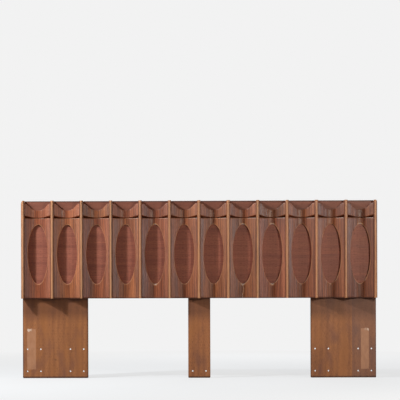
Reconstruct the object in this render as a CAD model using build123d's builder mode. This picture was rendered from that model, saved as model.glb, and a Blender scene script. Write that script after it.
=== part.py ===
from build123d import *
import os
from math import cos, radians, sin, tan

# King-size walnut headboard. Thirteen upright ribs stand in front of a thin back panel. A scooped slat
# with an oval cut fills the bay between two ribs, and a short crest closes the bay above each slat.
# Three plank legs and the rear rails are screwed to the back, through the panel and into the ribs.
#
# Frame: X runs along the width, the front faces -Y and Z is up. The origin is on the floor, in the middle
# of the width and of the depth. All sizes are in millimetres.

# ---- Overall ----
overall_width = 2032.0  # over the end ribs: 80 in, the width of a king-size bed
body_height = 558.8  # ribs and back panel: 22 in
leg_drop = 457.2  # floor to the underside of the body: 18 in
bay_count = 12

# ---- Ribs and back panel ----
rib_thickness = 19.0
rib_depth = 60.0  # from the back panel to the tip of the half-round nose
end_corner_radius = 12.0  # outer top corners of the end ribs and of the back panel
panel_thickness = 6.0

# ---- Scooped slats ----
slat_floor = 10.0  # wood left behind the deepest line of the scoop
edge_setback = 13.0  # from the nose tip back to where the scoop meets the rib
flank_angle = 35.0  # degrees, between the scoop's straight flanks and the back panel
slat_drop = 100.0  # from the body's top down to the slats' top ends
oval_top_margin = 35.5  # wood above the oval cut
oval_bottom_margin = 82.3  # wood below it
oval_side_margin = 16.4  # wood on each side of it

# ---- Crests ----
crest_edge_drop = 11.0  # from the body's top down to the crest's edge, beside a rib
crest_centre_drop = 53.5  # the same at the middle of the bay
slit_rib_gap = 16.5  # height of the slit between slat and crest, beside a rib
slit_back_gap = 0.5  # the same at the back panel

# ---- Tongues of slats and crests, in grooves in the ribs ----
tongue_thickness = 10.0
tongue_depth = 4.0
tongue_setback = 7.0  # from the slat's back to the tongue
groove_clearance = 0.2  # between a tongue and its groove, on each face

# ---- Legs and rear rails ----
leg_thickness = 19.0
side_leg_width = 375.0
centre_leg_width = 127.0
leg_inset = 2.0  # from the body's end to the outer edge of a side leg or of the top rail
leg_corner_radius = 5.0  # at the foot
rail_height = 60.0
rail_drop = 8.0  # from the body's top or bottom edge to the rail
rail_gap = 1.0  # between a rail and a leg

# ---- Bolt holes for the bed frame ----
bolt_hole_radius = 4.5
bolt_spacing_x = 76.2
bolt_spacing_z = 127.0
bolt_edge = 26.0  # from a side leg's edge to the nearest hole
bolt_height = 39.0  # from the floor to the lower holes

# ---- Countersunk slotted wood screws ----
shank_radius = 2.1
head_radius = 4.15
head_angle = 82.0
tip_length = 6.0
slot_width = 1.2
slot_depth = 1.0
long_screw_length = 50.0  # through a leg or rail
short_screw_length = 32.0  # through the panel alone
screw_clearance = 0.1
panel_screw_margin = 20.0  # from the body's bottom to the lowest panel screw
leg_screw_margin = 45.0  # from a leg's top to its highest screw
edge_distance = 15.0  # least distance from the edge of a leg or rail to a screw

# ---- Places worked out from the sizes above ----
depth = rib_depth + panel_thickness + leg_thickness
nose_y = -depth / 2
panel_y = nose_y + rib_depth
leg_y = panel_y + panel_thickness
back_y = leg_y + leg_thickness

body_bottom = leg_drop
body_top = leg_drop + body_height
body_mid = (body_bottom + body_top) / 2
slat_top = body_top - slat_drop

pitch = (overall_width - rib_thickness) / bay_count
bay_half = (pitch - rib_thickness) / 2
rib_xs = [(index - bay_count / 2) * pitch for index in range(bay_count + 1)]
bay_xs = [x + pitch / 2 for x in rib_xs[:-1]]

# The scoop is an arc in the middle that runs on into a straight flank on each side.
edge_y = nose_y + edge_setback
scoop_y = panel_y - slat_floor
scoop_depth = scoop_y - edge_y
flank = radians(flank_angle)
scoop_radius = (bay_half * tan(flank) - scoop_depth) * cos(flank) / (1 - cos(flank))

oval_low = body_bottom + oval_bottom_margin
oval_high = slat_top - oval_top_margin

# The crest's two sloping faces, as the direction in which each is cut, and the edge that it starts from.
crest_top_normal = (0, crest_centre_drop - crest_edge_drop, scoop_depth)
crest_top_edge = body_top - crest_edge_drop
crest_foot_normal = (0, slit_rib_gap - slit_back_gap, panel_y - edge_y)
crest_foot_edge = slat_top + slit_rib_gap

tongue_back = panel_y - tongue_setback
tongue_front = tongue_back - tongue_thickness
tongue_mid = (tongue_front + tongue_back) / 2
crest_slope = (crest_centre_drop - crest_edge_drop) / scoop_depth
groove_depth = tongue_depth + groove_clearance
groove_top = crest_top_edge - crest_slope * (tongue_front - edge_y) + groove_clearance

rail_top_mid = body_top - rail_drop - rail_height / 2
rail_bottom_mid = body_bottom + rail_drop + rail_height / 2
leg_top = rail_top_mid - rail_height / 2 - rail_gap
side_leg_x = overall_width / 2 - leg_inset - side_leg_width / 2
rail_inner = centre_leg_width / 2 + rail_gap
rail_outer = side_leg_x - side_leg_width / 2 - rail_gap
bottom_rail_x = (rail_inner + rail_outer) / 2
bottom_rail_width = rail_outer - rail_inner

# The boards on the back: name, middle, width and screw rows.
leg_high_row = leg_top - leg_screw_margin
leg_rows = [rail_bottom_mid, (rail_bottom_mid + leg_high_row) / 2, leg_high_row]
leg_boards = [
    ("left_leg", -side_leg_x, side_leg_width, leg_rows),
    ("centre_leg", 0.0, centre_leg_width, leg_rows),
    ("right_leg", side_leg_x, side_leg_width, leg_rows),
]
rail_boards = [
    ("rear_top_rail", 0.0, overall_width - 2 * leg_inset, [rail_top_mid]),
    ("rear_bottom_rail_left", -bottom_rail_x, bottom_rail_width, [rail_bottom_mid]),
    ("rear_bottom_rail_right", bottom_rail_x, bottom_rail_width, [rail_bottom_mid]),
]


def board_screws(board):
    """Where a board's screws go: one in each row at every rib that its edges clear."""
    _, middle, width, rows = board
    clear = [x for x in rib_xs if abs(x - middle) <= width / 2 - edge_distance]
    return [(x, row) for x in clear for row in rows]


leg_screw_places = [place for board in leg_boards for place in board_screws(board)]
rail_screw_places = [place for board in rail_boards for place in board_screws(board)]
long_screw_places = leg_screw_places + rail_screw_places

row_step = (rail_top_mid - rail_bottom_mid) / 3
panel_rows = [
    body_bottom + panel_screw_margin,
    rail_bottom_mid + row_step,
    rail_bottom_mid + 2 * row_step,
    body_top - panel_screw_margin,
]
short_screw_places = [(x, row) for x in rib_xs for row in panel_rows]

# Holes for the screws. In a rib they end just past the screws' tips.
shank_hole = shank_radius + screw_clearance
head_hole = head_radius + screw_clearance
long_pilot = long_screw_length - leg_thickness - panel_thickness + screw_clearance
short_pilot = short_screw_length - panel_thickness + screw_clearance


def drill_planes(places, y):
    """Planes at y that face backwards, one for each (x, z) place."""
    return [Plane((x, y, z), x_dir=(1, 0, 0), z_dir=(0, 1, 0)) for x, z in places]


def front_plane(y):
    """The plane at y that faces the front, with its own x along X and its own y along Z."""
    return Plane.XZ.offset(-y)


def finish(part, name):
    """Labels a finished piece and writes it as a STEP file of the same name."""
    part.label = name
    export_step(part, f"parts/{name}.step")


os.makedirs("parts", exist_ok=True)

# ---- Back panel: one sheet behind all the bays ----
with BuildPart() as back_panel:
    with BuildSketch(front_plane(leg_y)) as sheet:
        with Locations((0, body_mid)):
            Rectangle(overall_width, body_height)
        fillet(sheet.vertices().group_by(Axis.Y)[-1], radius=end_corner_radius)
    extrude(amount=panel_thickness)
    with Locations(*drill_planes(short_screw_places, leg_y)):
        CounterSinkHole(shank_hole, head_hole, counter_sink_angle=head_angle)
    with Locations(*drill_planes(long_screw_places, leg_y)):
        Hole(shank_hole)
finish(back_panel.part, "back_panel")

# ---- Ribs: upright boards with a half-round nose and a groove for the tongues on each inner side ----
with BuildSketch() as rib_section:
    with BuildLine():
        nose = CenterArc((0, nose_y + rib_thickness / 2), rib_thickness / 2, 180, 180)
        Polyline(nose @ 1, (rib_thickness / 2, panel_y), (-rib_thickness / 2, panel_y), nose @ 0)
    make_face()


def make_rib(name, rib_x, groove_sides):
    """One rib at rib_x, with a groove on its left side (-1), its right side (1) or both."""
    with BuildPart() as rib:
        with BuildSketch(Plane((rib_x, 0, body_bottom))):
            add(rib_section.sketch)
        extrude(amount=body_height)
        if len(groove_sides) == 1:
            # An end rib's outer top corner is rounded like the panel's behind it.
            with BuildSketch(front_plane(panel_y)) as outline:
                with Locations((rib_x, body_mid)):
                    Rectangle(rib_thickness, body_height)
                top_corners = outline.vertices().group_by(Axis.Y)[-1]
                fillet(top_corners.sort_by(Axis.X)[min(groove_sides[0], 0)], radius=end_corner_radius)
            extrude(amount=rib_depth, mode=Mode.INTERSECT)
        with BuildSketch(Plane.XY.offset(body_bottom)):
            with Locations(*[(rib_x + side * rib_thickness / 2, tongue_mid) for side in groove_sides]):
                Rectangle(2 * groove_depth, tongue_thickness + 2 * groove_clearance)
        extrude(amount=groove_top - body_bottom, mode=Mode.SUBTRACT)
        with Locations(*drill_planes([p for p in short_screw_places if p[0] == rib_x], panel_y)):
            Hole(shank_hole, depth=short_pilot)
        if any(p[0] == rib_x for p in long_screw_places):
            with Locations(*drill_planes([p for p in long_screw_places if p[0] == rib_x], panel_y)):
                Hole(shank_hole, depth=long_pilot)
    finish(rib.part, name)


for index, rib_x in enumerate(rib_xs):
    sides = [side for side in (-1, 1) if 0 <= index + (side - 1) / 2 < bay_count]
    make_rib(f"rib_{index + 1:02d}", rib_x, sides)

# ---- Slats and crests: both have this section, with a scooped front and a tongue on each edge ----
with BuildSketch() as scoop_section:
    with BuildLine():
        arc = CenterArc((0, scoop_y - scoop_radius), scoop_radius, 90 - flank_angle, 2 * flank_angle)
        right_side = [
            (bay_half, edge_y),
            (bay_half, tongue_front),
            (bay_half + tongue_depth, tongue_front),
            (bay_half + tongue_depth, tongue_back),
            (bay_half, tongue_back),
            (bay_half, panel_y),
        ]
        Polyline(arc @ 0, *right_side, *[(-x, y) for x, y in reversed(right_side)], arc @ 1)
    make_face()


def make_slat(name, bay_x):
    """The tall board of a bay, with an oval cut right through to the back panel."""
    with BuildPart() as slat:
        with BuildSketch(Plane((bay_x, 0, body_bottom))):
            add(scoop_section.sketch)
        extrude(amount=slat_top - body_bottom)
        with BuildSketch(front_plane(panel_y)):
            with Locations((bay_x, (oval_low + oval_high) / 2)):
                Ellipse(bay_half - oval_side_margin, (oval_high - oval_low) / 2)
        extrude(amount=rib_depth, mode=Mode.SUBTRACT)
    finish(slat.part, name)


def make_crest(name, bay_x):
    """The short block above a slat. Sloping cuts leave a U-shaped top edge and the slit under it."""
    top_cut = Plane((bay_x, edge_y, crest_top_edge), x_dir=(1, 0, 0), z_dir=crest_top_normal)
    foot_cut = Plane((bay_x, edge_y, crest_foot_edge), x_dir=(1, 0, 0), z_dir=crest_foot_normal)
    with BuildPart() as crest:
        with BuildSketch(Plane((bay_x, 0, slat_top))):
            add(scoop_section.sketch)
        extrude(amount=slat_drop)
        split(bisect_by=top_cut, keep=Keep.BOTTOM)
        split(bisect_by=foot_cut, keep=Keep.TOP)
    finish(crest.part, name)


for index, bay_x in enumerate(bay_xs):
    make_slat(f"slat_{index + 1:02d}", bay_x)
    make_crest(f"crest_{index + 1:02d}", bay_x)


# ---- Legs and rear rails ----
def make_leg(board):
    """A plank that runs from the floor up behind the body, with bolt holes near its foot."""
    name, middle, width, _ = board
    offsets = [width / 2 - bolt_edge - bolt_spacing_x, width / 2 - bolt_edge]
    columns = [middle + side * offset for side in (-1, 1) for offset in offsets]
    rows = [bolt_height, bolt_height + bolt_spacing_z]
    if name == "centre_leg":
        columns = [middle - bolt_spacing_x / 2, middle + bolt_spacing_x / 2]
        rows = [bolt_height]
    with BuildPart() as leg:
        with BuildSketch(front_plane(back_y)) as outline:
            with Locations((middle, leg_top / 2)):
                Rectangle(width, leg_top)
            fillet(outline.vertices().group_by(Axis.Y)[0], radius=leg_corner_radius)
        extrude(amount=leg_thickness)
        with Locations(*drill_planes(board_screws(board), back_y)):
            CounterSinkHole(shank_hole, head_hole, counter_sink_angle=head_angle)
        with Locations(*drill_planes([(x, z) for x in columns for z in rows], back_y)):
            Hole(bolt_hole_radius)
    finish(leg.part, name)


def make_rail(board):
    """A batten across the back that ties the ribs together."""
    name, middle, width, rows = board
    with BuildPart() as rail:
        with BuildSketch(front_plane(back_y)):
            with Locations((middle, rows[0])):
                Rectangle(width, rail_height)
        extrude(amount=leg_thickness)
        with Locations(*drill_planes(board_screws(board), back_y)):
            CounterSinkHole(shank_hole, head_hole, counter_sink_angle=head_angle)
    finish(rail.part, name)


for board in leg_boards:
    make_leg(board)
for board in rail_boards:
    make_rail(board)


# ---- Wood screws ----
def turned_screw(length):
    """A countersunk screw with a slotted head, its head's face at the origin and its tip at -length."""
    head_height = (head_radius - shank_radius) / tan(radians(head_angle / 2))
    with BuildPart() as screw:
        with BuildSketch(Plane.XZ):
            with BuildLine():
                Polyline(
                    (0, 0),
                    (head_radius, 0),
                    (shank_radius, -head_height),
                    (shank_radius, tip_length - length),
                    (0, -length),
                    close=True,
                )
            make_face()
        revolve(axis=Axis.Z)
        with BuildSketch():
            Rectangle(3 * head_radius, slot_width)
        extrude(amount=-slot_depth, mode=Mode.SUBTRACT)
    return screw.part


long_screw = turned_screw(long_screw_length)
short_screw = turned_screw(short_screw_length)

with BuildPart() as leg_screws:
    with Locations(*drill_planes(leg_screw_places, back_y)):
        add(long_screw)
finish(leg_screws.part, "leg_screws")

with BuildPart() as rail_screws:
    with Locations(*drill_planes(rail_screw_places, back_y)):
        add(long_screw)
finish(rail_screws.part, "rail_screws")

with BuildPart() as panel_screws:
    with Locations(*drill_planes(short_screw_places, leg_y)):
        add(short_screw)
finish(panel_screws.part, "panel_screws")
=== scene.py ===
# %% [markdown]
# # A walnut headboard, from its frame to its finish
# The headboard has thirteen upright ribs in front of a thin back panel. Between two ribs stands a scooped
# slat with an oval cut through it, with a short crest above. Three plank legs, three rails and the screws
# are at the back. The design file fixes where everything is, and it is loaded first. The sizes below
# are read from that frame where they can be, so each board that is made here lands where its solid is.

# %% Load the frame
import math

import bmesh
import bpy
import numpy as np
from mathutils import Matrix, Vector


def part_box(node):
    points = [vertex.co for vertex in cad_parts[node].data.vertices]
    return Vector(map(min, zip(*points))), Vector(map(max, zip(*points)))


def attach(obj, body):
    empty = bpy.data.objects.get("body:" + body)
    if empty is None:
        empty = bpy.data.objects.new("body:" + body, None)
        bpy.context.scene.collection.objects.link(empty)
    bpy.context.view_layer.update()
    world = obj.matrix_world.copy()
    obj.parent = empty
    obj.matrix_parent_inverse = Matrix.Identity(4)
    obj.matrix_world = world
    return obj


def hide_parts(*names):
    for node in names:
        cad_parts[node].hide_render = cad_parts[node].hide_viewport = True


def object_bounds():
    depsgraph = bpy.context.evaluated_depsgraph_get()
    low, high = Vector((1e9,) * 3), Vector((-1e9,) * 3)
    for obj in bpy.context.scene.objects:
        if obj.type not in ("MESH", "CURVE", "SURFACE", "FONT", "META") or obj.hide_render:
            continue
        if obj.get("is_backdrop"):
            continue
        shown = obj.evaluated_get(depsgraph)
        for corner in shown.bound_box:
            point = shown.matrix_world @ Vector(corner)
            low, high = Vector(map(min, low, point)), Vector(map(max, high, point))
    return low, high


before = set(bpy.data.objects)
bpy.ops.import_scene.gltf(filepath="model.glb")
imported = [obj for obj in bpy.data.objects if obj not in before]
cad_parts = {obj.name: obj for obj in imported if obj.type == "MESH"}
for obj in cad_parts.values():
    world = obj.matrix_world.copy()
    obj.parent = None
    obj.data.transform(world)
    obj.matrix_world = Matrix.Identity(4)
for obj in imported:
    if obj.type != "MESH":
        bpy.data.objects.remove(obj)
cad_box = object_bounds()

print("frame:", len(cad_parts), "nodes, from", [round(c, 4) for c in cad_box[0]],
      "to", [round(c, 4) for c in cad_box[1]])

# %% [markdown]
# ## Reading the sizes
# A node's box gives its lowest and highest corner in metres. The ribs' boxes give the pitch of the bays,
# the slats' boxes give the height of the carved part, and the legs' boxes give the planks. A few sizes
# can't be read from a box, because they lie inside a board: the curve of the scoop and the oval are such.

# %% Read the sizes from the boxes
BAYS = 12
rib_names = [f"rib_{i:02d}" for i in range(1, BAYS + 2)]
slat_names = [f"slat_{i:02d}" for i in range(1, BAYS + 1)]
crest_names = [f"crest_{i:02d}" for i in range(1, BAYS + 1)]

rib_low, rib_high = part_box("rib_02")
panel_low, panel_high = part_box("back_panel")
slat_low, slat_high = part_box("slat_01")

rib_xs = [sum(corner.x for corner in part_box(name)) / 2 for name in rib_names]
bay_xs = [sum(corner.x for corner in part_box(name)) / 2 for name in slat_names]
rib_half = (rib_high.x - rib_low.x) / 2
bay_half = (rib_xs[1] - rib_xs[0]) / 2 - rib_half
nose_y, panel_y = rib_low.y, rib_high.y
edge_y = slat_low.y
body_bottom, body_top, slat_top = rib_low.z, rib_high.z, slat_high.z
print(f"pitch {rib_xs[1] - rib_xs[0]:.4f} m, bay half {bay_half:.4f} m")
print(f"body from {body_bottom:.3f} to {body_top:.3f} m")

# %% The scoop and the oval, which lie inside the slat
SLAT_FLOOR, FLANK_ANGLE = 0.010, 35
scoop_y = panel_y - SLAT_FLOOR
flank = math.radians(FLANK_ANGLE)
scoop_depth = scoop_y - edge_y
scoop_radius = (bay_half * math.tan(flank) - scoop_depth) * math.cos(flank) / (1 - math.cos(flank))
print(f"scoop radius {scoop_radius * 1000:.1f} mm")

OVAL_BELOW, OVAL_ABOVE, OVAL_BESIDE = 0.0823, 0.0355, 0.0164
oval_low, oval_high = body_bottom + OVAL_BELOW, slat_top - OVAL_ABOVE
oval_middle, oval_half_height = (oval_low + oval_high) / 2, (oval_high - oval_low) / 2
oval_half_width = bay_half - OVAL_BESIDE
print(f"oval {oval_half_width * 2000:.0f} by {oval_half_height * 2000:.0f} mm")

# %% The crest's cuts, beside a rib and at the back or middle
crest_top_edge, crest_top_middle = body_top - 0.011, body_top - 0.0535
crest_foot_edge, crest_foot_back = slat_top + 0.0165, slat_top + 0.0005
top_slope = (crest_top_edge - crest_top_middle) / scoop_depth
foot_slope = (crest_foot_edge - crest_foot_back) / (panel_y - edge_y)
print(f"crest: top cut {top_slope:.2f} and foot cut {foot_slope:.2f}, as rise over depth")

# %% [markdown]
# ## Numbers that become nodes
# A geometry or shader tree is a web of small nodes, and a formula in it can need dozens of them. The
# class below lets the formula be written as ordinary arithmetic. Each plus, minus or times adds one
# Math node and returns its output, ready for the next step.

# %% A number in a node tree
class Number:
    """A number in a node tree. Arithmetic on it adds the Math node that does it."""

    def __init__(self, tree, socket):
        self.tree, self.socket = tree, socket

    def math(self, operation, *others):
        node = self.tree.nodes.new("ShaderNodeMath")
        node.operation = operation
        for slot, value in zip(node.inputs, (self, *others)):
            plug(self.tree, slot, value)
        return Number(self.tree, node.outputs[0])

    def __add__(self, other):
        return self.math("ADD", other)

    def __sub__(self, other):
        return self.math("SUBTRACT", other)

    def __mul__(self, other):
        return self.math("MULTIPLY", other)

    def __truediv__(self, other):
        return self.math("DIVIDE", other)

    def __neg__(self):
        return self.math("MULTIPLY", -1.0)

    def __rsub__(self, other):
        return (-self) + other

    __radd__, __rmul__ = __add__, __mul__

    def size(self):
        return self.math("ABSOLUTE")

    def between(self, low, high):
        return self.math("MAXIMUM", low).math("MINIMUM", high)


def plug(tree, slot, value):
    """Links a socket or Number to an input, or sets the input to a plain value."""
    if isinstance(value, Number):
        value = value.socket
    if isinstance(value, bpy.types.NodeSocket):
        tree.links.new(value, slot)
    else:
        slot.default_value = value


def add_node(tree, kind, inputs=None, **settings):
    """Adds a node with its settings, and plugs its inputs by name or by number."""
    node = tree.nodes.new(kind)
    for name, value in settings.items():
        setattr(node, name, value)
    for name, value in (inputs or {}).items():
        plug(tree, node.inputs[name], value)
    return node


def vector(tree, x, y, z):
    """Three numbers as one vector."""
    return add_node(tree, "ShaderNodeCombineXYZ", {0: x, 1: y, 2: z}).outputs[0]


def parts_of(tree, socket):
    """The x, y and z of a vector, as Numbers."""
    return [Number(tree, s) for s in add_node(tree, "ShaderNodeSeparateXYZ", {0: socket}).outputs]


def place_on_board(tree):
    """Where a point is on the headboard, as x, y and z."""
    return parts_of(tree, add_node(tree, "ShaderNodeTexCoord").outputs["Object"])


print("helpers for node trees are ready")

# %% [markdown]
# ## Walnut
# Oiled walnut is a brown wood with soft streaks from orange to purple-brown. Fibres and short dark pores
# run along the grain. Light wood shows where hands and knocks have worn the edges. A scanned texture would
# need unwrapping, and it would stop at each edge. Noises that are stretched along the grain go right
# through the board, as real wood does. Numbers stored on each mesh steer them: "board" moves every
# board to its own piece of the pattern, "tone" makes it paler or darker, partly as painted light and
# shade, and a third says how rubbed a spot is, and down the ribs' noses also paints a highlight.

# %% The walnut recipe
def ramp(tree, factor, stops):
    """A colour ramp: stops are (position, colour)."""
    node = add_node(tree, "ShaderNodeValToRGB", {0: factor})
    elements = node.color_ramp.elements
    while len(elements) < len(stops):
        elements.new(0.5)
    for element, (position, colour) in zip(elements, stops):
        element.position, element.color = position, (*colour, 1.0)
    return node.outputs["Color"]


def mix_colour(tree, factor, a, b, blend="MIX"):
    """Mixes two colours."""
    node = add_node(tree, "ShaderNodeMix", data_type="RGBA", blend_type=blend)
    plug(tree, node.inputs[0], factor)
    for slot, value in ((node.inputs[6], a), (node.inputs[7], b)):
        plug(tree, slot, (*value, 1.0) if isinstance(value, tuple) else value)
    return node.outputs[2]


def noise(tree, place, scale, detail=2.0, roughness=0.5):
    """Smooth noise between 0 and 1 at a place, as a Number."""
    node = add_node(tree, "ShaderNodeTexNoise",
                    {"Vector": place, "Scale": scale, "Detail": detail, "Roughness": roughness})
    return Number(tree, node.outputs[0])


def start_material(name):
    """An empty material with a Principled shader. Returns the material, its tree and the shader."""
    material = bpy.data.materials.new(name)
    material.use_nodes = True
    tree = material.node_tree
    tree.nodes.clear()
    shader = add_node(tree, "ShaderNodeBsdfPrincipled")
    output = add_node(tree, "ShaderNodeOutputMaterial")
    tree.links.new(shader.outputs[0], output.inputs[0])
    return material, tree, shader


def attribute(tree, name):
    """A number stored on the mesh."""
    return Number(tree, add_node(tree, "ShaderNodeAttribute", attribute_name=name).outputs["Fac"])


def stretched(tree, grain, across, along):
    """Object coordinates, moved to the board's own piece of the pattern and stretched along the grain."""
    x, y, z = place_on_board(tree)
    board = attribute(tree, "board")
    bend = noise(tree, vector(tree, x, y, z + board * 9.0), 3.0, 1.0) * 0.03
    side, length = (x, z) if grain == "Z" else (z, x)
    return vector(tree, (side + board * 3.7 + bend) * across, (y + board * 5.1) * across,
                  (length + board * 7.3) * along)


RAW, PALE_CRACK, PORE = (0.66, 0.34, 0.17), (0.70, 0.60, 0.55), (0.03, 0.012, 0.008)


def walnut(name, grain, stops, across=26.0, along=1.3, gloss=0.42, marks=None):
    """Oiled walnut. stops is the ramp from dark streaks to light ones, and marks adds a board's stains and
    painted shade.
    """
    material, tree, shader = start_material(name)
    place = stretched(tree, grain, across, along)
    streaks = noise(tree, place, 1.0, 4.0, 0.62)
    rings = Number(tree, add_node(tree, "ShaderNodeTexWave",
                                  {"Vector": place, "Scale": 0.9, "Distortion": 5.0, "Detail": 2.0,
                                   "Detail Scale": 0.8}).outputs["Fac"])
    fibres = noise(tree, stretched(tree, grain, 420.0, 9.0), 1.0, 2.0)
    pores = noise(tree, stretched(tree, grain, 1100.0, 60.0), 1.0, 0.0)
    figure = (streaks - 0.5) * 1.5 + (rings - 0.5) * 0.22 + (fibres - 0.5) * 0.35 + 0.5
    colour = ramp(tree, figure, stops)
    pore = ((pores - 0.60) * 12.0).between(0.0, 1.0)
    colour = mix_colour(tree, pore * 0.45, colour, PORE)

    board = attribute(tree, "board")
    lot = add_node(tree, "ShaderNodeTexWhiteNoise", {"W": board * 91.0}, noise_dimensions="1D")
    hue = Number(tree, lot.outputs["Value"])
    shift = add_node(tree, "ShaderNodeHueSaturation",
                     {"Hue": hue * 0.012 + 0.494, "Saturation": 1.0, "Value": attribute(tree, "tone"),
                      "Color": colour})
    colour = shift.outputs[0]

    if marks:
        colour = marks(tree, colour)
    wear_and_highlight = attribute(tree, "wear_and_highlight")
    rub = noise(tree, stretched(tree, grain, 90.0, 14.0), 1.0, 3.0, 0.6)
    # The pale raw colour shows wear, and down the ribs' noses it is also a painted highlight.
    worn = ((wear_and_highlight * 1.35 + rub * 0.9 - 1.0) * 2.2).between(0.0, 1.0)
    colour = mix_colour(tree, worn * 0.75, colour, RAW)
    colour = mix_colour(tree, ((wear_and_highlight - 1.2) * 2.5 + rub - 0.5).between(0.0, 0.8), colour, PALE_CRACK)
    plug(tree, shader.inputs["Base Color"], colour)
    plug(tree, shader.inputs["Roughness"], (streaks - 0.5) * 0.25 + pore * 0.15 + worn * 0.12 + gloss)
    height = fibres * 0.35 + streaks * 0.25 - pore * 0.6
    bump = add_node(tree, "ShaderNodeBump", {"Strength": 0.35, "Distance": 0.0004, "Height": height})
    plug(tree, shader.inputs["Normal"], bump.outputs[0])
    return material


def tones(red, green, blue, spread=1.0):
    """Ramp stops round a middle colour, from purple-brown streaks to orange ones."""
    steps = [(0.0, -0.58, -0.60, -0.50), (0.38, -0.22, -0.24, -0.20), (0.62, 0.18, 0.20, 0.14),
             (1.0, 0.60, 0.72, 0.66)]
    return [(place, (red * (1 + r * spread), green * (1 + g * spread), blue * (1 + b * spread)))
            for place, r, g, b in steps]


print("the walnut recipe is ready")

# %% [markdown]
# ## Stains, rubbed places and painted shade
# Each kind of board has aged in its own way, and some marks are painted shade. The legs have cool and warm
# patches, darker edges, a pale strip at each end of the bed, where brackets were clamped, and painted shade
# under the body. The panel has painted shade above the slats and is darkest at its top edge, and the slats
# have painted shade at their feet and beside the ribs. The marks could be painted by hand, but formulas of
# the place on the headboard can be read and changed later. A mark is a soft-edged patch, and its colour is
# mixed over the wood.

# %% Marks on the legs
# A near-black brown for the panel's top edge and, as painted shade, for the slats' feet.
DARK_EDGE_COLOUR = (0.060, 0.022, 0.015)
RUBBED, SPLINTERED = (0.55, 0.28, 0.16), (0.80, 0.62, 0.50)
COOL_PATCH, WARM_PATCH, COOL_PLANK = (0.20, 0.085, 0.062), (0.42, 0.165, 0.055), (0.17, 0.095, 0.085)
COOL_PLANK_FROM = 0.875
# For each strip: the side, how far it lies in from the leg's outer edge, and half its width.
STRIPS = {"left_leg": (-1, 0.049, 0.027), "right_leg": (1, 0.064, 0.024)}
STRIP_MIDDLE, STRIP_HALF_HEIGHT, NICK_HEIGHT = 0.166, 0.118, 0.276


def patch(tree, x, z, middle, half, soft=0.003):
    """1 inside a box round middle, falling to 0 over a soft edge."""
    across = ((half[0] - (x - middle[0]).size()) / soft).between(0.0, 1.0)
    return across * ((half[1] - (z - middle[1]).size()) / soft).between(0.0, 1.0)


def rubbed_strip(tree, colour, x, z, rough, node):
    """The pale strip that a bracket rubbed, with a splintered nick at its top."""
    side, inset, half_width = STRIPS[node]
    low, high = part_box(node)
    outer = low.x if side < 0 else high.x
    strip = patch(tree, x + rough * 0.005, z + rough * 0.012, (outer - side * inset, STRIP_MIDDLE),
                  (half_width, STRIP_HALF_HEIGHT))
    colour = mix_colour(tree, strip * (rough * 0.9 + 0.72), colour, RUBBED)
    nick = patch(tree, x + rough * 0.03, z + rough * 0.03, (outer - side * (inset - 0.012), NICK_HEIGHT),
                 (0.014, 0.009), 0.004)
    return mix_colour(tree, (nick * (rough * 5.0 + 0.8)).between(0.0, 0.9), colour, SPLINTERED)


def dark_edges(tree, colour, x, z, node):
    """A darker band along a leg's two long edges."""
    low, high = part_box(node)
    middle, half_width = ((low.x + high.x) / 2, high.z / 2), (high.x - low.x) / 2
    inner = patch(tree, x, z, middle, (half_width, high.z), 0.006)
    around = patch(tree, x, z, middle, (half_width + 0.02, high.z), 0.001)
    return mix_colour(tree, around * (1.0 - inner) * 0.75, colour, (0.055, 0.022, 0.013))


def leg_marks(tree, colour):
    """All the marks on the legs. Under the body the legs are darkened with painted shade, and their feet are
    darker.
    """
    x, y, z = place_on_board(tree)
    rough = noise(tree, vector(tree, x * 60.0, y, z * 25.0), 1.0, 3.0) - 0.5
    cloud = noise(tree, vector(tree, x * 11.0, y, z * 5.0 + 3.0), 1.0, 2.0)
    colour = mix_colour(tree, ((cloud - 0.50) * 3.5).between(0.0, 0.65), colour, COOL_PATCH)
    glow = noise(tree, vector(tree, x * 14.0 + 7.0, y, z * 4.0), 1.0, 2.0)
    colour = mix_colour(tree, ((glow - 0.50) * 3.5).between(0.0, 0.6), colour, WARM_PATCH)
    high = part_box("right_leg")[1]
    plank_middle, plank_half = (COOL_PLANK_FROM + high.x) / 2, (high.x - COOL_PLANK_FROM) / 2
    plank = patch(tree, x, z, (plank_middle, high.z / 2), (plank_half, high.z), 0.002)
    colour = mix_colour(tree, plank * (cloud * 0.9 + 0.05), colour, COOL_PLANK)
    for node in STRIPS:
        colour = rubbed_strip(tree, colour, x, z, rough, node)
        colour = dark_edges(tree, colour, x, z, node)
    # Painted shade on the legs' tops, under the body.
    painted_body_shade = ((z - 0.32) / 0.10).between(0.0, 0.6)
    colour = mix_colour(tree, painted_body_shade, colour, (0.13, 0.050, 0.028))
    foot = ((0.012 - z + rough * 0.006) / 0.008).between(0.0, 0.75)
    return mix_colour(tree, foot, colour, (0.050, 0.020, 0.012))


print("marks for the legs, with", len(STRIPS), "rubbed strips")

# %% Marks on the panel and the slats
def panel_marks(tree, colour):
    """The panel is darkened above the slats with painted shade, and is darkest at its top edge."""
    z = place_on_board(tree)[2]
    # Painted shade over the panel above the slats, growing towards the top.
    colour = mix_colour(tree, ((z - slat_top) / 0.10).between(0.0, 0.5), colour, (0.16, 0.055, 0.032))
    rim = ((z - body_top + 0.009) / 0.008).between(0.0, 0.75)
    return mix_colour(tree, rim, colour, DARK_EDGE_COLOUR)


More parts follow.
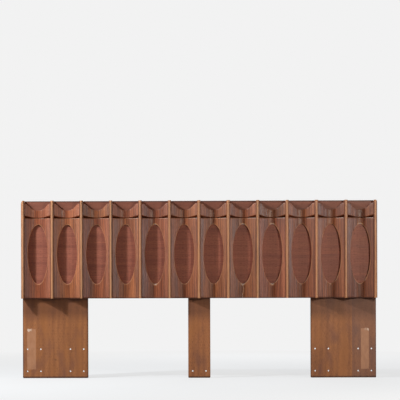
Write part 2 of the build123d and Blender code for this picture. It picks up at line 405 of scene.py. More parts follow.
def slat_marks(tree, colour):
    """Dark smears on the slats, and painted shade at their feet and, by the mesh's number "side", in the
    corners beside the ribs.
    """
    x, y, z = place_on_board(tree)
    smear = noise(tree, vector(tree, x * 30.0, y * 30.0, z * 4.0), 1.0, 2.0)
    colour = mix_colour(tree, ((smear - 0.55) * 3.0).between(0.0, 0.45), colour, (0.10, 0.035, 0.022))
    # Painted shade in the corners where a slat or crest meets a rib.
    colour = mix_colour(tree, attribute(tree, "side") * 0.7, colour, (0.055, 0.020, 0.013))
    # Painted shade along the slats' feet.
    foot = ((body_bottom + 0.007 - z) / 0.006).between(0.0, 0.75)
    return mix_colour(tree, foot, colour, DARK_EDGE_COLOUR)


print("marks for the panel and the slats are ready")

# %% The five woods
rib_walnut = walnut("oiled_walnut_rib", "Z", tones(0.27, 0.094, 0.036), gloss=0.38)
slat_walnut = walnut("oiled_walnut_slat", "Z", tones(0.30, 0.095, 0.042), gloss=0.38, marks=slat_marks)
panel_walnut = walnut("oiled_walnut_panel", "X", tones(0.37, 0.135, 0.084, 0.5), across=40.0, along=1.6,
                      gloss=0.5, marks=panel_marks)
leg_walnut = walnut("oiled_walnut_leg", "Z", tones(0.39, 0.145, 0.062, 0.5), across=11.0, gloss=0.45,
                    marks=leg_marks)
rail_wood = walnut("plain_rail_wood", "X", tones(0.42, 0.25, 0.13, 0.5), across=22.0, gloss=0.6)
print("made", [m.name for m in bpy.data.materials if "walnut" in m.name or "rail" in m.name])

# %% [markdown]
# ## Screw steel
# The screws are old zinc-plated steel that has gone dull. One grey would look like new plastic, so a fine
# noise mixes dark and pale spots, and makes the pale ones rougher.

# %% Dull screw steel
screw_steel, tree, shader = start_material("dull_screw_steel")
spot = add_node(tree, "ShaderNodeTexCoord").outputs["Object"]
tarnish = noise(tree, spot, 260.0, 3.0)
steel_stops = [(0.3, (0.12, 0.10, 0.085)), (0.7, (0.42, 0.40, 0.37))]
plug(tree, shader.inputs["Base Color"], ramp(tree, tarnish, steel_stops))
shader.inputs["Metallic"].default_value = 1.0
plug(tree, shader.inputs["Roughness"], tarnish * 0.4 + 0.25)
print("made", screw_steel.name)

# %% [markdown]
# ## One way to make every front board
# Ribs, slats and crests are alike in one way: each has a shaped front, a flat back, and straight sides
# between them. They could be modelled one by one, but there are thirty-seven of them and they follow one
# rule. So a geometry tree makes the front as a thin sheet, by moving each point of a grid to where a
# formula says. The sheet is then pulled straight back to the panel, and the two are joined and welded
# into a closed board.

# %% Trees with named sizes
def start_tree(name, sizes):
    """A geometry tree with one named input for each size. Returns it and the inputs as Numbers."""
    tree = bpy.data.node_groups.new(name, "GeometryNodeTree")
    tree.interface.new_socket("Geometry", in_out="INPUT", socket_type="NodeSocketGeometry")
    tree.interface.new_socket("Geometry", in_out="OUTPUT", socket_type="NodeSocketGeometry")
    for size in sizes:
        tree.interface.new_socket(size, in_out="INPUT", socket_type="NodeSocketFloat")
    tree.interface.new_socket("Material", in_out="INPUT", socket_type="NodeSocketMaterial")
    given = add_node(tree, "NodeGroupInput")
    return tree, given, {size: Number(tree, given.outputs[size]) for size in sizes}


def end_tree(tree, given, geometry):
    """Ends a tree with real geometry and its material."""
    real = add_node(tree, "GeometryNodeRealizeInstances", {0: geometry})
    coated = add_node(tree, "GeometryNodeSetMaterial",
                      {"Geometry": real.outputs[0], "Material": given.outputs["Material"]})
    output = add_node(tree, "NodeGroupOutput")
    tree.links.new(coated.outputs[0], output.inputs[0])
    return tree


def run_tree(tree, name, material, sizes, points=()):
    """Runs a tree with these sizes and returns its result as an object with a plain mesh."""
    start = bpy.data.meshes.new(name + "_points")
    start.from_pydata(list(points), [], [])
    piece = bpy.data.objects.new(name, start)
    bpy.context.scene.collection.objects.link(piece)
    modifier = piece.modifiers.new("shape", "NODES")
    modifier.node_group = tree
    ids = {item.name: item.identifier for item in tree.interface.items_tree if item.in_out == "INPUT"}
    for size, value in sizes.items():
        modifier[ids[size]] = float(value)
    modifier[ids["Material"]] = material
    return flatten(piece)


def flatten(piece):
    """Replaces an object's modifiers, or its curve, with the mesh that they make."""
    bpy.context.view_layer.update()
    evaluated = piece.evaluated_get(bpy.context.evaluated_depsgraph_get())
    mesh = bpy.data.meshes.new_from_object(evaluated)
    mesh.name = piece.name
    if piece.type == "MESH":
        piece.modifiers.clear()
        piece.data = mesh
        return piece
    made = bpy.data.objects.new(piece.name + "_mesh", mesh)
    bpy.context.scene.collection.objects.link(made)
    name = piece.name
    bpy.data.objects.remove(piece)
    made.name = name
    return made


def welded(tree, geometry):
    """Points that lie on each other become one."""
    return add_node(tree, "GeometryNodeMergeByDistance", {"Geometry": geometry, "Distance": 1e-5}).outputs[0]


def board_from_sheet(tree, sheet, back_place):
    """Pulls a sheet that faces backwards straight to its back and closes it."""
    pulled = add_node(tree, "GeometryNodeExtrudeMesh",
                      {"Mesh": sheet, "Offset Scale": 0.0, "Individual": False})
    back = add_node(tree, "GeometryNodeSetPosition",
                    {"Geometry": pulled.outputs["Mesh"], "Selection": pulled.outputs["Top"],
                     "Position": back_place})
    front = add_node(tree, "GeometryNodeFlipFaces", {0: sheet})
    both = add_node(tree, "GeometryNodeJoinGeometry")
    tree.links.new(back.outputs[0], both.inputs[0])
    tree.links.new(front.outputs[0], both.inputs[0])
    return welded(tree, both.outputs[0])


def hand_work(tree, x, z, seed, depth, fine=16.0):
    """The small unevenness that a carver's tools leave, in metres."""
    place = vector(tree, x * fine, seed * 13.7, z * (fine * 0.4))
    return (noise(tree, place, 1.0, 2.0) - 0.5) * 2.0 * depth


print("helpers for boards are ready")

# %% [markdown]
# ## Slats
# Each slat is a scooped board with an oval cut right through it. A boolean could cut the oval out of a
# scooped block, but it leaves long thin faces at the cut that shade badly. So the sheet is a ribbon that
# runs once round the oval: one side of the grid is the oval's edge and the other is the board's outline.
# A point between them is mixed from the two, and the scoop's curve sets how far back it lies. The curve
# is an arc in the middle that goes on as a straight flank on each side.

# %% The slat tree
def scoop(x, radius, deepest, flank_x, slope):
    """How far back the scoop lies at x: an arc, and past flank_x its tangent."""
    reach = x.size().math("MINIMUM", flank_x)
    rise = (radius * radius - reach * reach).math("SQRT")
    return rise + (deepest - radius) - (x.size() - reach) * slope


SCOOP_SIZES = ["Middle", "Half Width", "Bottom", "Top", "Back", "Scoop Radius", "Scoop Depth", "Flank Start",
               "Flank Slope", "Carving", "Seed"]
OVAL_SIZES = ["Oval Middle", "Oval Half Width", "Oval Half Height"]
slat_tree, given, n = start_tree("scooped_slat", SCOOP_SIZES + OVAL_SIZES)
AROUND, OUTWARD = 192, 11
grid = add_node(slat_tree, "GeometryNodeMeshGrid",
                {"Size X": 4.0, "Size Y": 1.0, "Vertices X": AROUND + 1, "Vertices Y": OUTWARD + 1})
u, v, _ = parts_of(slat_tree, add_node(slat_tree, "GeometryNodeInputPosition").outputs[0])
turn, out = u + 2.0, v + 0.5
square_x = (2.0 - (turn - 1.5).size() * 2.0).between(-1.0, 1.0)
square_z = (2.0 - (turn - 2.5).size() * 2.0).between(-1.0, 1.0)
angle = square_z.math("ARCTAN2", square_x)
oval_x = angle.math("COSINE") * n["Oval Half Width"]
oval_z = angle.math("SINE") * n["Oval Half Height"] + n["Oval Middle"]
edge_x = square_x * n["Half Width"]
edge_z = (n["Bottom"] + n["Top"]) * 0.5 + square_z * (n["Top"] - n["Bottom"]) * 0.5
x = oval_x + (edge_x - oval_x) * out
z = oval_z + (edge_z - oval_z) * out
y = scoop(x, n["Scoop Radius"], n["Scoop Depth"], n["Flank Start"], n["Flank Slope"])
y = y + hand_work(slat_tree, x, z, n["Seed"], n["Carving"])
sheet = add_node(slat_tree, "GeometryNodeSetPosition",
                 {"Geometry": grid.outputs["Mesh"], "Position": vector(slat_tree, x + n["Middle"], y, z)})
here_x, _, here_z = parts_of(slat_tree, add_node(slat_tree, "GeometryNodeInputPosition").outputs[0])
board = board_from_sheet(slat_tree, welded(slat_tree, sheet.outputs[0]),
                         vector(slat_tree, here_x, n["Back"], here_z))
end_tree(slat_tree, given, board)
print("slat tree:", len(slat_tree.nodes), "nodes")

# %% [markdown]
# ## Finishing a board
# A board from a tree has razor edges. A bevel of about a millimetre rounds them, as sandpaper and years
# do. Then the mesh gets the numbers that its wood reads: "board" and "tone", the same over the whole
# board, and one that is high where the distance to a rubbed edge is small, and that also paints a
# highlight down each rib's nose.

# %% Round the edges
def soften(piece, width):
    """Rounds the sharp edges."""
    bevel = piece.modifiers.new("arris", "BEVEL")
    bevel.width, bevel.segments = width, 2
    bevel.limit_method, bevel.angle_limit = "ANGLE", math.radians(40)
    return flatten(piece)


def tidy_mesh(piece, sharp=38):
    """Welds the mesh, points its faces outwards and shades it smooth except at sharp edges."""
    work = bmesh.new()
    work.from_mesh(piece.data)
    bmesh.ops.remove_doubles(work, verts=work.verts, dist=2e-6)
    bmesh.ops.recalc_face_normals(work, faces=work.faces)
    work.to_mesh(piece.data)
    work.free()
    piece.data.shade_smooth()
    piece.data.set_sharp_from_angle(angle=math.radians(sharp))


def finish_edges(piece, width):
    """Rounds a board's edges and cleans its mesh before and after."""
    tidy_mesh(piece)
    piece = soften(piece, width)
    tidy_mesh(piece)
    return piece


print("helpers for edges are ready")

# %% Store the numbers that the wood reads
def points_of(piece):
    """A mesh's points as an array."""
    co = np.empty(len(piece.data.vertices) * 3)
    piece.data.vertices.foreach_get("co", co)
    return co.reshape(-1, 3)


def store(piece, name, values):
    """Stores one number for each point."""
    data = piece.data.attributes.new(name, "FLOAT", "POINT")
    data.data.foreach_set("value", np.broadcast_to(values, len(piece.data.vertices)).astype(np.float32))


def settle(piece, node, board, wear_and_highlight=0.0, tone=1.0):
    """Marks a piece for its material and puts it in place of its node on the frame."""
    store(piece, "board", board)
    store(piece, "wear_and_highlight", wear_and_highlight)
    store(piece, "tone", tone)
    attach(piece, "root")
    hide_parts(node)
    return piece


def near(distance, reach):
    """1 at distance 0, falling smoothly to 0 at reach."""
    return np.clip(1 - np.abs(distance) / reach, 0, 1) ** 1.5


boards = np.random.default_rng(7).random(3 * BAYS + 1)
print("numbers for", len(boards), "boards drawn")

# %% [markdown]
# ## Which boards differ
# No two boards come from the same place in a tree. Most have the middle tone, and a few are paler or
# darker, partly by their own tone and partly as painted light and shade. Three slats have a chip below
# the oval, one of them with a crack down to its foot, and four have a pale, dry rim above it. Each is
# named here, so that one board can be changed without the others.

# %% Tones and damage
PALE, MIDDLE, DARK = 1.2, 1.0, 0.75
# Painted light and shade: the ribs in the middle and at the right are paler, as painted light on their noses,
# and the last slat and the last two crests darker, as painted shade. The other tones are the boards' own.
SLAT_TONE_AND_SHADE = {2: PALE, 4: PALE, 12: DARK}
CREST_TONE_AND_SHADE = {2: PALE, 11: DARK, 12: DARK}
RIB_TONE_AND_LIGHT = {3: DARK, 4: DARK, 7: PALE, 8: PALE, 11: PALE, 12: PALE}
# How strongly a slat is chipped, and how strongly the crack below the chip shows.
CHIPPED = {"slat_05": (2.2, 0.0), "slat_08": (2.6, 2.6), "slat_09": (2.6, 0.0)}
PALE_TOPS = {"slat_05": 0.9, "slat_08": 1.7, "slat_09": 1.8, "slat_12": 1.5}


def slat_wear(name, middle, p):
    """How worn each point of a slat is: its edges, its chip and crack, and a pale rim."""
    across, height = p[:, 0] - middle, p[:, 2]
    reach = np.hypot(across / oval_half_width, (height - oval_middle) / oval_half_height)
    wear_and_highlight = 0.8 * near((reach - 1) * oval_half_width, 0.004) + 0.75 * near(height - slat_top, 0.004)
    if name in CHIPPED:
        chip, crack = CHIPPED[name]
        wear_and_highlight += chip * near(np.hypot(across * 0.55, height - oval_low + 0.002), 0.010)
        wear_and_highlight += crack * near(across - 0.004 * np.sin(height * 90), 0.003) * (height < oval_low)
    wear_and_highlight += PALE_TOPS.get(name, 0.0) * near(np.hypot(across * 0.35, height - oval_high - 0.001), 0.010)
    wear_and_highlight[p[:, 1] > panel_y - 0.002] = 0
    return wear_and_highlight


print("chipped:", list(CHIPPED), "pale rims:", list(PALE_TOPS))

# %% Make the twelve slats
# The second number is how far from a rib the painted shade in the corners reaches.
EDGE_ROUNDING, SIDE_SHADE_REACH = 0.0011, 0.006
scoop_sizes = {"Half Width": bay_half, "Back": panel_y, "Scoop Radius": scoop_radius, "Scoop Depth": scoop_y,
               "Flank Start": scoop_radius * math.sin(flank), "Flank Slope": math.tan(flank),
               "Carving": 0.0005}
slats = []
for i, (name, middle) in enumerate(zip(slat_names, bay_xs)):
    slat = run_tree(slat_tree, "carved_" + name, slat_walnut, {
        **scoop_sizes, "Middle": middle, "Bottom": body_bottom, "Top": slat_top, "Seed": i + 1,
        "Oval Middle": oval_middle, "Oval Half Width": oval_half_width, "Oval Half Height": oval_half_height})
    slat = finish_edges(slat, EDGE_ROUNDING)
    p = points_of(slat)
    # The number "side" carries the painted shade beside the ribs.
    store(slat, "side", near(np.abs(p[:, 0] - middle) - bay_half, SIDE_SHADE_REACH))
    wear_and_highlight, tone = slat_wear(name, middle, p), SLAT_TONE_AND_SHADE.get(i + 1, MIDDLE)
    slats.append(settle(slat, name, boards[i], wear_and_highlight, tone))
print(len(slats), "slats of", len(slats[0].data.polygons), "faces")

# %% [markdown]
# ## Crests
# A crest is the short block that closes the bay above its slat. It has the slat's scoop, but its top is
# cut back at a slope, so that its edge is a U from the front, and its foot is cut at a slope too, which
# leaves the bow-tie slit. Both cuts are flat, so the height of a point follows from how far back it lies:
# no saw cut has to be made, the grid is simply stretched between the two. The ears beside the ribs are
# rounded over.

# %% The crest tree
CREST_SIZES = ["Front", "Top Slope", "Foot Slope", "Ear Rise", "Ear Drop"]
crest_tree, given, n = start_tree("scooped_crest", SCOOP_SIZES + CREST_SIZES)
grid = add_node(crest_tree, "GeometryNodeMeshGrid",
                {"Size X": 1.0, "Size Y": 1.0, "Vertices X": 65, "Vertices Y": 15})
u, v, _ = parts_of(crest_tree, add_node(crest_tree, "GeometryNodeInputPosition").outputs[0])
x = u * 2.0 * n["Half Width"]
y = scoop(x, n["Scoop Radius"], n["Scoop Depth"], n["Flank Start"], n["Flank Slope"])


def crest_height(x, y, share):
    """The height at this share of the way from the foot's cut to the top's."""
    ear = (1.0 - ((x.size() - n["Half Width"] * 0.77) / 0.014).size()).between(0.0, 1.0)
    corner = ((x.size() - n["Half Width"] + 0.012) / 0.012).between(0.0, 1.0)
    foot = n["Bottom"] - (y - n["Front"]) * n["Foot Slope"]
    top = n["Top"] - (y - n["Front"]) * n["Top Slope"] + ear * n["Ear Rise"] - corner * corner * n["Ear Drop"]
    return foot + (top - foot) * share


z = crest_height(x, y, v + 0.5)
carved = y + hand_work(crest_tree, x, z, n["Seed"], n["Carving"])
marked = add_node(crest_tree, "GeometryNodeStoreNamedAttribute",
                  {"Geometry": grid.outputs["Mesh"], "Name": "share", "Value": v + 0.5},
                  data_type="FLOAT", domain="POINT")
sheet = add_node(crest_tree, "GeometryNodeSetPosition",
                 {"Geometry": marked.outputs[0], "Position": vector(crest_tree, x + n["Middle"], carved, z)})
share = add_node(crest_tree, "GeometryNodeInputNamedAttribute", {"Name": "share"}, data_type="FLOAT")
here_x, _, _ = parts_of(crest_tree, add_node(crest_tree, "GeometryNodeInputPosition").outputs[0])
back_z = crest_height(here_x - n["Middle"], n["Back"], Number(crest_tree, share.outputs["Attribute"]))
board = board_from_sheet(crest_tree, sheet.outputs[0], vector(crest_tree, here_x, n["Back"], back_z))
end_tree(crest_tree, given, board)
print("crest tree:", len(crest_tree.nodes), "nodes")

# %% Make the twelve crests
crests = []
for i, (name, middle) in enumerate(zip(crest_names, bay_xs)):
    crest = run_tree(crest_tree, "carved_" + name, slat_walnut, {
        **scoop_sizes, "Middle": middle, "Bottom": crest_foot_edge, "Top": crest_top_edge, "Seed": i + 21,
        "Front": edge_y, "Top Slope": top_slope, "Foot Slope": foot_slope, "Ear Rise": 0.004,
        "Ear Drop": 0.006})
    crest = finish_edges(crest, EDGE_ROUNDING)
    p = points_of(crest)
    # The number "side" carries the painted shade beside the ribs.
    store(crest, "side", near(np.abs(p[:, 0] - middle) - bay_half, SIDE_SHADE_REACH))
    rim = crest_top_edge - (p[:, 1] - edge_y) * top_slope
    wear_and_highlight = 0.6 * near(p[:, 2] - rim, 0.004) * (p[:, 1] < scoop_y + 0.001)
    tone = CREST_TONE_AND_SHADE.get(i + 1, MIDDLE)
    crests.append(settle(crest, name, boards[BAYS + i], wear_and_highlight, tone))
print(len(crests), "crests of", len(crests[0].data.polygons), "faces")

# %% [markdown]
# ## Ribs
# A rib is an upright board whose front edge is a half-round nose. A bevelled box could have the same
# outline, but the sheet lets the nose sway a little along its height, as a hand-planed one does. Its points
# are spaced evenly round the nose, so they crowd towards the sides. The end ribs' outer top corners are
# rounded over, and years of knocks have taken more off the left one.

# %% The rib tree
RIB_SIZES = ["Middle", "Half Width", "Bottom", "Top", "Front", "Back", "Waviness", "Seed", "Corner Side",
             "Corner Width", "Corner Height"]
rib_tree, given, n = start_tree("nosed_rib", RIB_SIZES)
grid = add_node(rib_tree, "GeometryNodeMeshGrid",
                {"Size X": 1.0, "Size Y": 1.0, "Vertices X": 21, "Vertices Y": 71})
u, v, _ = parts_of(rib_tree, add_node(rib_tree, "GeometryNodeInputPosition").outputs[0])
around = (u + 0.5) * math.pi
x = -around.math("COSINE") * n["Half Width"]
nose = n["Front"] + n["Half Width"] - around.math("SINE") * n["Half Width"]
from_corner = x * n["Corner Side"] - n["Half Width"] + n["Corner Width"]
into_corner = (from_corner / n["Corner Width"]).between(0.0, 1.0)
drop = (1.0 - (1.0 - into_corner * into_corner).math("SQRT")) * n["Corner Height"]
z = n["Bottom"] + (n["Top"] - drop - n["Bottom"]) * (v + 0.5)
wave_place = vector(rib_tree, 0.0, n["Seed"] * 5.3, z * 9.0)
sway = (noise(rib_tree, wave_place, 1.0, 2.0) - 0.5) * 2.0 * n["Waviness"]
nose = nose + sway * (around.math("SINE"))
sheet = add_node(rib_tree, "GeometryNodeSetPosition",
                 {"Geometry": grid.outputs["Mesh"], "Position": vector(rib_tree, x + n["Middle"], nose, z)})
here_x, _, here_z = parts_of(rib_tree, add_node(rib_tree, "GeometryNodeInputPosition").outputs[0])
board = board_from_sheet(rib_tree, sheet.outputs[0], vector(rib_tree, here_x, n["Back"], here_z))
end_tree(rib_tree, given, board)
print("rib tree:", len(rib_tree.nodes), "nodes")

# %% Make the thirteen ribs
CORNER_WIDTH, LEFT_CORNER_HEIGHT, RIGHT_CORNER_HEIGHT = 0.012, 0.024, 0.012
# For the end ribs: which side the rounded corner is on, and its height. The others have none.
CORNERS = {"rib_01": (-1.0, LEFT_CORNER_HEIGHT), "rib_13": (1.0, RIGHT_CORNER_HEIGHT)}
ribs = []
for i, (name, middle) in enumerate(zip(rib_names, rib_xs)):
    side, corner_height = CORNERS.get(name, (0.0, 0.0))
    rib = run_tree(rib_tree, "nosed_" + name, rib_walnut, {
        "Middle": middle, "Half Width": rib_half, "Bottom": body_bottom, "Top": body_top,
        "Front": nose_y + 0.0002, "Back": panel_y, "Waviness": 0.0003, "Seed": i + 1, "Corner Side": side,
        "Corner Width": CORNER_WIDTH, "Corner Height": corner_height})
    rib = finish_edges(rib, 0.0009)
    p = points_of(rib)
    # A pale stripe down the nose, partly wear and partly a painted highlight; the top is a little worn.
    wear_and_highlight = 1.1 * near(p[:, 0] - middle, 0.0115) * (p[:, 1] < nose_y + 0.012)
    wear_and_highlight += 0.3 * near(p[:, 2] - body_top, 0.01)
    ribs.append(settle(rib, name, boards[2 * BAYS + i], wear_and_highlight, RIB_TONE_AND_LIGHT.get(i + 1, MIDDLE)))
print(len(ribs), "ribs of", len(ribs[0].data.polygons), "faces")

# %% [markdown]
# ## Panel, legs and rails
# These are plain sawn boards with holes. The holes could be cut with booleans, one by one. A flat curve is
# the easier way to such a shape: its outer spline is the outline, every spline inside it is a hole, and
# the curve's extrusion and bevel give the board its thickness and its softened edges.

# %% Boards from outlines
def rounded_outline(left, right, bottom, top, foot_radius=0.0, top_radius=0.0, steps=6):
    """The outline of a board in x and z, with rounded corners at its foot or top."""
    points = []
    for x, z, radius, start in ((right, bottom, foot_radius, -90), (right, top, top_radius, 0),
                                (left, top, top_radius, 90), (left, bottom, foot_radius, 180)):
        cx = x - radius if x == right else x + radius
        cz = z + radius if z == bottom else z - radius
        count = steps if radius else 0
        for k in range(count + 1):
            turn = math.radians(start + (90 * k / steps if radius else 0))
            points.append((cx + radius * math.cos(turn), cz + radius * math.sin(turn)))
    return points


def circle(x, z, radius, steps=20):
    """A round hole."""
    return [(x + radius * math.cos(2 * math.pi * k / steps), z + radius * math.sin(2 * math.pi * k / steps))
            for k in range(steps)]


def sawn_board(name, outline, holes, front, back, material, softness=0.0008):
    """A board of this outline between two depths, with its edges eased."""
    curve = bpy.data.curves.new(name, "CURVE")
    curve.dimensions, curve.fill_mode = "2D", "BOTH"
    for loop in [outline, *holes]:
        spline = curve.splines.new("POLY")
        spline.points.add(len(loop) - 1)
        for point, (x, z) in zip(spline.points, loop):
            point.co = (x, z, 0.0, 1.0)
        spline.use_cyclic_u = True
    curve.extrude = (back - front) / 2 - softness
    curve.bevel_depth, curve.bevel_resolution = softness, 1
    curve.offset = -softness
    piece = bpy.data.objects.new(name, curve)
    bpy.context.scene.collection.objects.link(piece)
    piece = flatten(piece)
    co = points_of(piece)
    placed = np.column_stack([co[:, 0], (front + back) / 2 - co[:, 2], co[:, 1]])
    piece.data.vertices.foreach_set("co", placed.ravel())
    tidy_mesh(piece, 20)
    piece.data.materials.clear()
    piece.data.materials.append(material)
    return piece


print("helpers for plain boards are ready")

# %% [markdown]
# ## Where the screws go
# Each board at the back is screwed into the ribs in front of it, so a screw can only stand where a rib is.
# The places are worked out from the ribs and the boards, once, and both the holes and the screws use them.

# %% Where the screws go
RIM_SCREW, TOP_SCREW = 0.020, 0.045
leg_y, back_y = panel_high.y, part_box("left_leg")[1].y
leg_names = ["left_leg", "centre_leg", "right_leg"]
rail_names = ["rear_top_rail", "rear_bottom_rail_left", "rear_bottom_rail_right"]


def height_of(name):
    """The height of a board's middle."""
    low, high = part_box(name)
    return (low.z + high.z) / 2


def screw_places(name, rows, clearance=0.015):
    """A board's screws: one in each row at every rib that lies well inside its edges."""
    low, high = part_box(name)
    return [(x, z) for x in rib_xs if low.x + clearance <= x <= high.x - clearance for z in rows]


rail_row, top_row = height_of("rear_bottom_rail_left"), height_of("rear_top_rail")
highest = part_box("left_leg")[1].z - TOP_SCREW
leg_rows = [rail_row, (rail_row + highest) / 2, highest]
row_step = (top_row - rail_row) / 3
panel_rows = [body_bottom + RIM_SCREW, rail_row + row_step, rail_row + 2 * row_step, body_top - RIM_SCREW]
leg_screws = {name: screw_places(name, leg_rows) for name in leg_names}
rail_screws = {name: screw_places(name, [height_of(name)]) for name in rail_names}
panel_screws = [(x, z) for x in rib_xs for z in panel_rows]
print("screws:", sum(map(len, leg_screws.values())), "leg,", sum(map(len, rail_screws.values())), "rail,",
      len(panel_screws), "panel")

# %% The panel
HEAD_HOLE, PANEL_CORNER = 0.0044, 0.012
outline = rounded_outline(panel_low.x, panel_high.x, panel_low.z, panel_high.z, 0.0, PANEL_CORNER)
panel = sawn_board("walnut_back_panel", outline, [circle(x, z, HEAD_HOLE) for x, z in panel_screws],
                   panel_low.y, panel_high.y, panel_walnut, 0.0005)
settle(panel, "back_panel", 0.37)
print(panel.name, len(panel_screws), "holes")

# %% [markdown]
# ## Legs and rails
# The two wide legs have four pairs of bolt holes each, for the brackets of a steel bed frame, and the
# narrow one in the middle has a single pair. The rails run between and above the legs and are left plain.

# %% The legs
BOLT_RADIUS, BOLT_ROWS = 0.0045, (0.039, 0.166)
BOLT_EDGE, BOLT_SPACING = 0.026, 0.0762
for k, name in enumerate(leg_names):
    low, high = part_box(name)
    if name == "centre_leg":
        bolts = [(x, BOLT_ROWS[0]) for x in (-BOLT_SPACING / 2, BOLT_SPACING / 2)]
    else:
        first, last = low.x + BOLT_EDGE, high.x - BOLT_EDGE
        columns = (first, first + BOLT_SPACING, last - BOLT_SPACING, last)
        bolts = [(x, z) for x in columns for z in BOLT_ROWS]
    holes = [circle(x, z, BOLT_RADIUS) for x, z in bolts]
    holes += [circle(x, z, HEAD_HOLE) for x, z in leg_screws[name]]
    outline = rounded_outline(low.x, high.x, low.z, high.z, 0.005)
    leg = sawn_board("plank_" + name, outline, holes, low.y, high.y, leg_walnut)
    settle(leg, name, 0.11 + 0.29 * k)
    print(leg.name, len(bolts), "bolt holes")

# %% The rails
for k, name in enumerate(rail_names):
    low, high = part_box(name)
    holes = [circle(x, z, HEAD_HOLE) for x, z in rail_screws[name]]
    outline = rounded_outline(low.x, high.x, low.z, high.z)
    rail = sawn_board("sawn_" + name, outline, holes, low.y, high.y, rail_wood, 0.0012)
    settle(rail, name, 0.23 + 0.31 * k)
    print(rail.name, len(holes), "screw holes")

# %% [markdown]
# ## Screws
# Countersunk slotted wood screws hold the back together. A loop could copy one screw's object, but then
# each copy is one more object to look after. Here one screw is built in a geometry tree, and the tree puts
# a copy on every point that it is given. Each copy is turned by its own angle, because nobody lines up the
# slots of eighty screws.

# %% The screw tree
screw_tree, given, n = start_tree("slotted_screws", ["Head Radius", "Shank Radius", "Head Height", "Length",
                                                     "Slot Width", "Slot Depth", "Seed"])
head = add_node(screw_tree, "GeometryNodeMeshCone",
                {"Vertices": 24, "Radius Top": n["Head Radius"], "Radius Bottom": n["Shank Radius"],
                 "Depth": n["Head Height"]})
head = add_node(screw_tree, "GeometryNodeTransform",
                {"Geometry": head.outputs[0], "Translation": vector(screw_tree, 0.0, 0.0, -n["Head Height"])})
slot = add_node(screw_tree, "GeometryNodeMeshCube",
                {"Size": vector(screw_tree, n["Head Radius"] * 3.0, n["Slot Width"], n["Slot Depth"] * 2.0)})
cut = add_node(screw_tree, "GeometryNodeMeshBoolean", operation="DIFFERENCE", solver="EXACT")
screw_tree.links.new(head.outputs[0], cut.inputs[0])
screw_tree.links.new(slot.outputs[0], cut.inputs[1])
shank = add_node(screw_tree, "GeometryNodeMeshCone",
                 {"Vertices": 12, "Radius Top": n["Shank Radius"], "Radius Bottom": 0.0003,
                  "Depth": n["Length"] - n["Head Height"]})
shank = add_node(screw_tree, "GeometryNodeTransform",
                 {"Geometry": shank.outputs[0], "Translation": vector(screw_tree, 0.0, 0.0, -n["Length"])})
whole = add_node(screw_tree, "GeometryNodeJoinGeometry")
screw_tree.links.new(cut.outputs[0], whole.inputs[0])
screw_tree.links.new(shank.outputs[0], whole.inputs[0])
spin = add_node(screw_tree, "FunctionNodeRandomValue", {"Seed": n["Seed"]}, data_type="FLOAT")
turn = Number(screw_tree, next(s for s in spin.outputs if s.enabled)) * math.tau
copies = add_node(screw_tree, "GeometryNodeInstanceOnPoints",
                  {"Points": given.outputs["Geometry"], "Instance": whole.outputs[0],
                   "Rotation": vector(screw_tree, -math.pi / 2, turn, 0.0)})
end_tree(screw_tree, given, copies.outputs[0])
print("screw tree:", len(screw_tree.nodes), "nodes")

# %% Put the screws in
groups = {
    "leg_screws": ([p for places in leg_screws.values() for p in places], back_y, 0.050),
    "rail_screws": ([p for places in rail_screws.values() for p in places], back_y, 0.050),
    "panel_screws": (panel_screws, leg_y, 0.032),
}
for k, (name, (places, face, length)) in enumerate(groups.items()):
    screws = run_tree(screw_tree, "slotted_" + name, screw_steel, {
        "Head Radius": 0.00415, "Shank Radius": 0.0021, "Head Height": 0.00236, "Length": length,
        "Slot Width": 0.0012, "Slot Depth": 0.001, "Seed": k + 3}, [(x, face - 0.0002, z) for x, z in places])
    tidy_mesh(screws)
    settle(screws, name, 0.5)
    print(name, len(places), "screws,", len(screws.data.polygons), "faces")

# %% [markdown]
# ## The floor
# The headboard stands on a pale studio floor. The floor takes soft shadows near the legs and fades into
# the background by its distance from the middle, so no horizon shows. A real floor this pale would throw
# so much light upwards that the wood would look flat. So only the camera sees it pale: for every other
# ray, which the Light Path node tells apart, it is a dim grey.

# %% A pale floor
BACKDROP, PALE_SHARE = (0.888, 0.888, 0.888), 0.76
FLOOR_RADIUS, FADE_START, FADE_WIDTH = 16.0, 1.2, 3.0
bpy.ops.mesh.primitive_circle_add(vertices=96, radius=FLOOR_RADIUS, fill_type="NGON",
                                  location=(0, 0, -0.0005))
floor = bpy.context.object
floor.name = "floor"
paint = bpy.data.materials.new("pale_floor")
paint.use_nodes = True
tree = paint.node_tree
tree.nodes.clear()
x, y, _ = parts_of(tree, add_node(tree, "ShaderNodeTexCoord").outputs["Object"])
radius = (x * x + y * y).math("SQRT")
fade = ((radius - FADE_START) / FADE_WIDTH).between(0.0, 1.0)
lit = add_node(tree, "ShaderNodeBsdfDiffuse", {"Color": (0.86, 0.93, 1.0, 1.0)})
glow = add_node(tree, "ShaderNodeEmission", {"Color": (*BACKDROP, 1.0), "Strength": 1.0})
glow_share = fade * (1 - PALE_SHARE) + PALE_SHARE
seen = add_node(tree, "ShaderNodeMixShader", {0: glow_share, 1: lit.outputs[0], 2: glow.outputs[0]})
dim = add_node(tree, "ShaderNodeBsdfDiffuse", {"Color": (0.25, 0.25, 0.25, 1.0)})
rays = add_node(tree, "ShaderNodeLightPath")
blend = add_node(tree, "ShaderNodeMixShader",
                 {0: rays.outputs["Is Camera Ray"], 1: dim.outputs[0], 2: seen.outputs[0]})
output = add_node(tree, "ShaderNodeOutputMaterial")
tree.links.new(blend.outputs[0], output.inputs[0])
floor.data.materials.append(paint)
floor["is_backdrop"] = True
print("floor of radius", FLOOR_RADIUS, "m")

# %% [markdown]
# ## Light
# A small hard key light stands high at the left and throws the ribs' shadows across the bays. Three soft
# lights beside it fill that side. Three at the right, low and weaker, fill the shadows and give the oiled
# flanks their sheen. A large soft one behind shows the back's boards and screws.

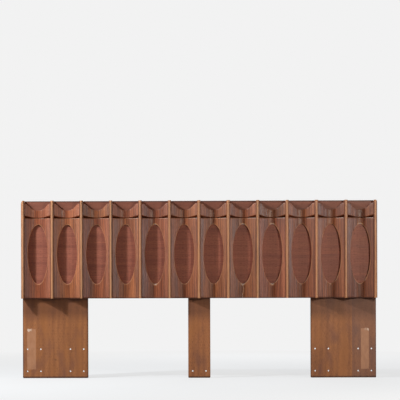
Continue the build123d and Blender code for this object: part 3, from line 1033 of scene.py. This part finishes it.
# %% The background
world = bpy.data.worlds.new("studio")
bpy.context.scene.world = world
world.use_nodes = True
tree = world.node_tree
tree.nodes.clear()
seen = add_node(tree, "ShaderNodeBackground", {"Color": (*BACKDROP, 1.0), "Strength": 1.0})
cast = add_node(tree, "ShaderNodeBackground", {"Color": (1.0, 1.0, 1.0, 1.0), "Strength": 0.03})
rays = add_node(tree, "ShaderNodeLightPath")
both = add_node(tree, "ShaderNodeMixShader",
                {0: rays.outputs["Is Camera Ray"], 1: cast.outputs[0], 2: seen.outputs[0]})
output = add_node(tree, "ShaderNodeOutputWorld")
tree.links.new(both.outputs[0], output.inputs[0])
print("background set")

# %% The lights
def area_light(name, place, aim, size, power, colour):
    """A square light at place that faces aim."""
    data = bpy.data.lights.new(name, "AREA")
    data.size, data.energy, data.color = size, power, colour
    light = bpy.data.objects.new(name, data)
    bpy.context.scene.collection.objects.link(light)
    light.location = place
    light.rotation_mode = "QUATERNION"
    light.rotation_quaternion = (Vector(aim) - Vector(place)).to_track_quat("-Z", "Y")


WHITE, WARM, COOL = (1.0, 1.0, 1.0), (1.0, 0.86, 0.72), (0.88, 0.95, 1.0)
BODY = (0.0, 0.0, 0.75)
area_light("key", (-2.6, -1.45, 2.6), BODY, 0.16, 88.0, WHITE)
area_light("left_high", (-3.25, -0.6, 2.2), BODY, 0.6, 25.0, COOL)
area_light("left_low", (-3.25, -0.6, 0.9), BODY, 0.6, 10.0, WARM)
area_light("left_near", (-2.2, -1.3, 1.7), BODY, 0.4, 9.0, WARM)
area_light("right_front", (1.5, -2.6, 1.2), (0.45, 0.0, 0.75), 0.3, 25.0, WARM)
area_light("right_low", (3.0, -1.35, 0.9), BODY, 0.6, 14.0, WHITE)
area_light("right_side", (3.25, -0.6, 1.1), BODY, 0.6, 9.0, WHITE)
area_light("back_fill", (0.5, 3.5, 1.6), BODY, 2.0, 45.0, WHITE)

# %% [markdown]
# ## Camera
# A long lens far away, low and straight on, as for a catalogue. The lens is shifted up a little
# instead of tilted, which keeps the uprights parallel.

# %% The camera
camera_data = bpy.data.cameras.new("camera")
camera = bpy.data.objects.new("camera", camera_data)
bpy.context.scene.collection.objects.link(camera)
camera_data.sensor_width, camera_data.lens = 36.0, 133.6
camera_data.shift_x, camera_data.shift_y = 0.0, 0.233
camera_data.clip_start, camera_data.clip_end = 0.1, 100.0
camera.location = (0.0888, -8.5, 0.4857)
camera.rotation_mode = "XYZ"
camera.rotation_euler = (math.radians(90), 0.00276, 0.00985)
bpy.context.scene.camera = camera
bpy.context.scene.view_settings.view_transform = "Standard"
print("camera at", [round(c, 2) for c in camera.location], "with a", camera_data.lens, "mm lens")

# %% Compare the sizes and finish
final_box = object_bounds()
cad_size, final_size = (box[1] - box[0] for box in (cad_box, final_box))
print("size grew by", [round(now - before, 5) for before, now in zip(cad_size, final_size)])
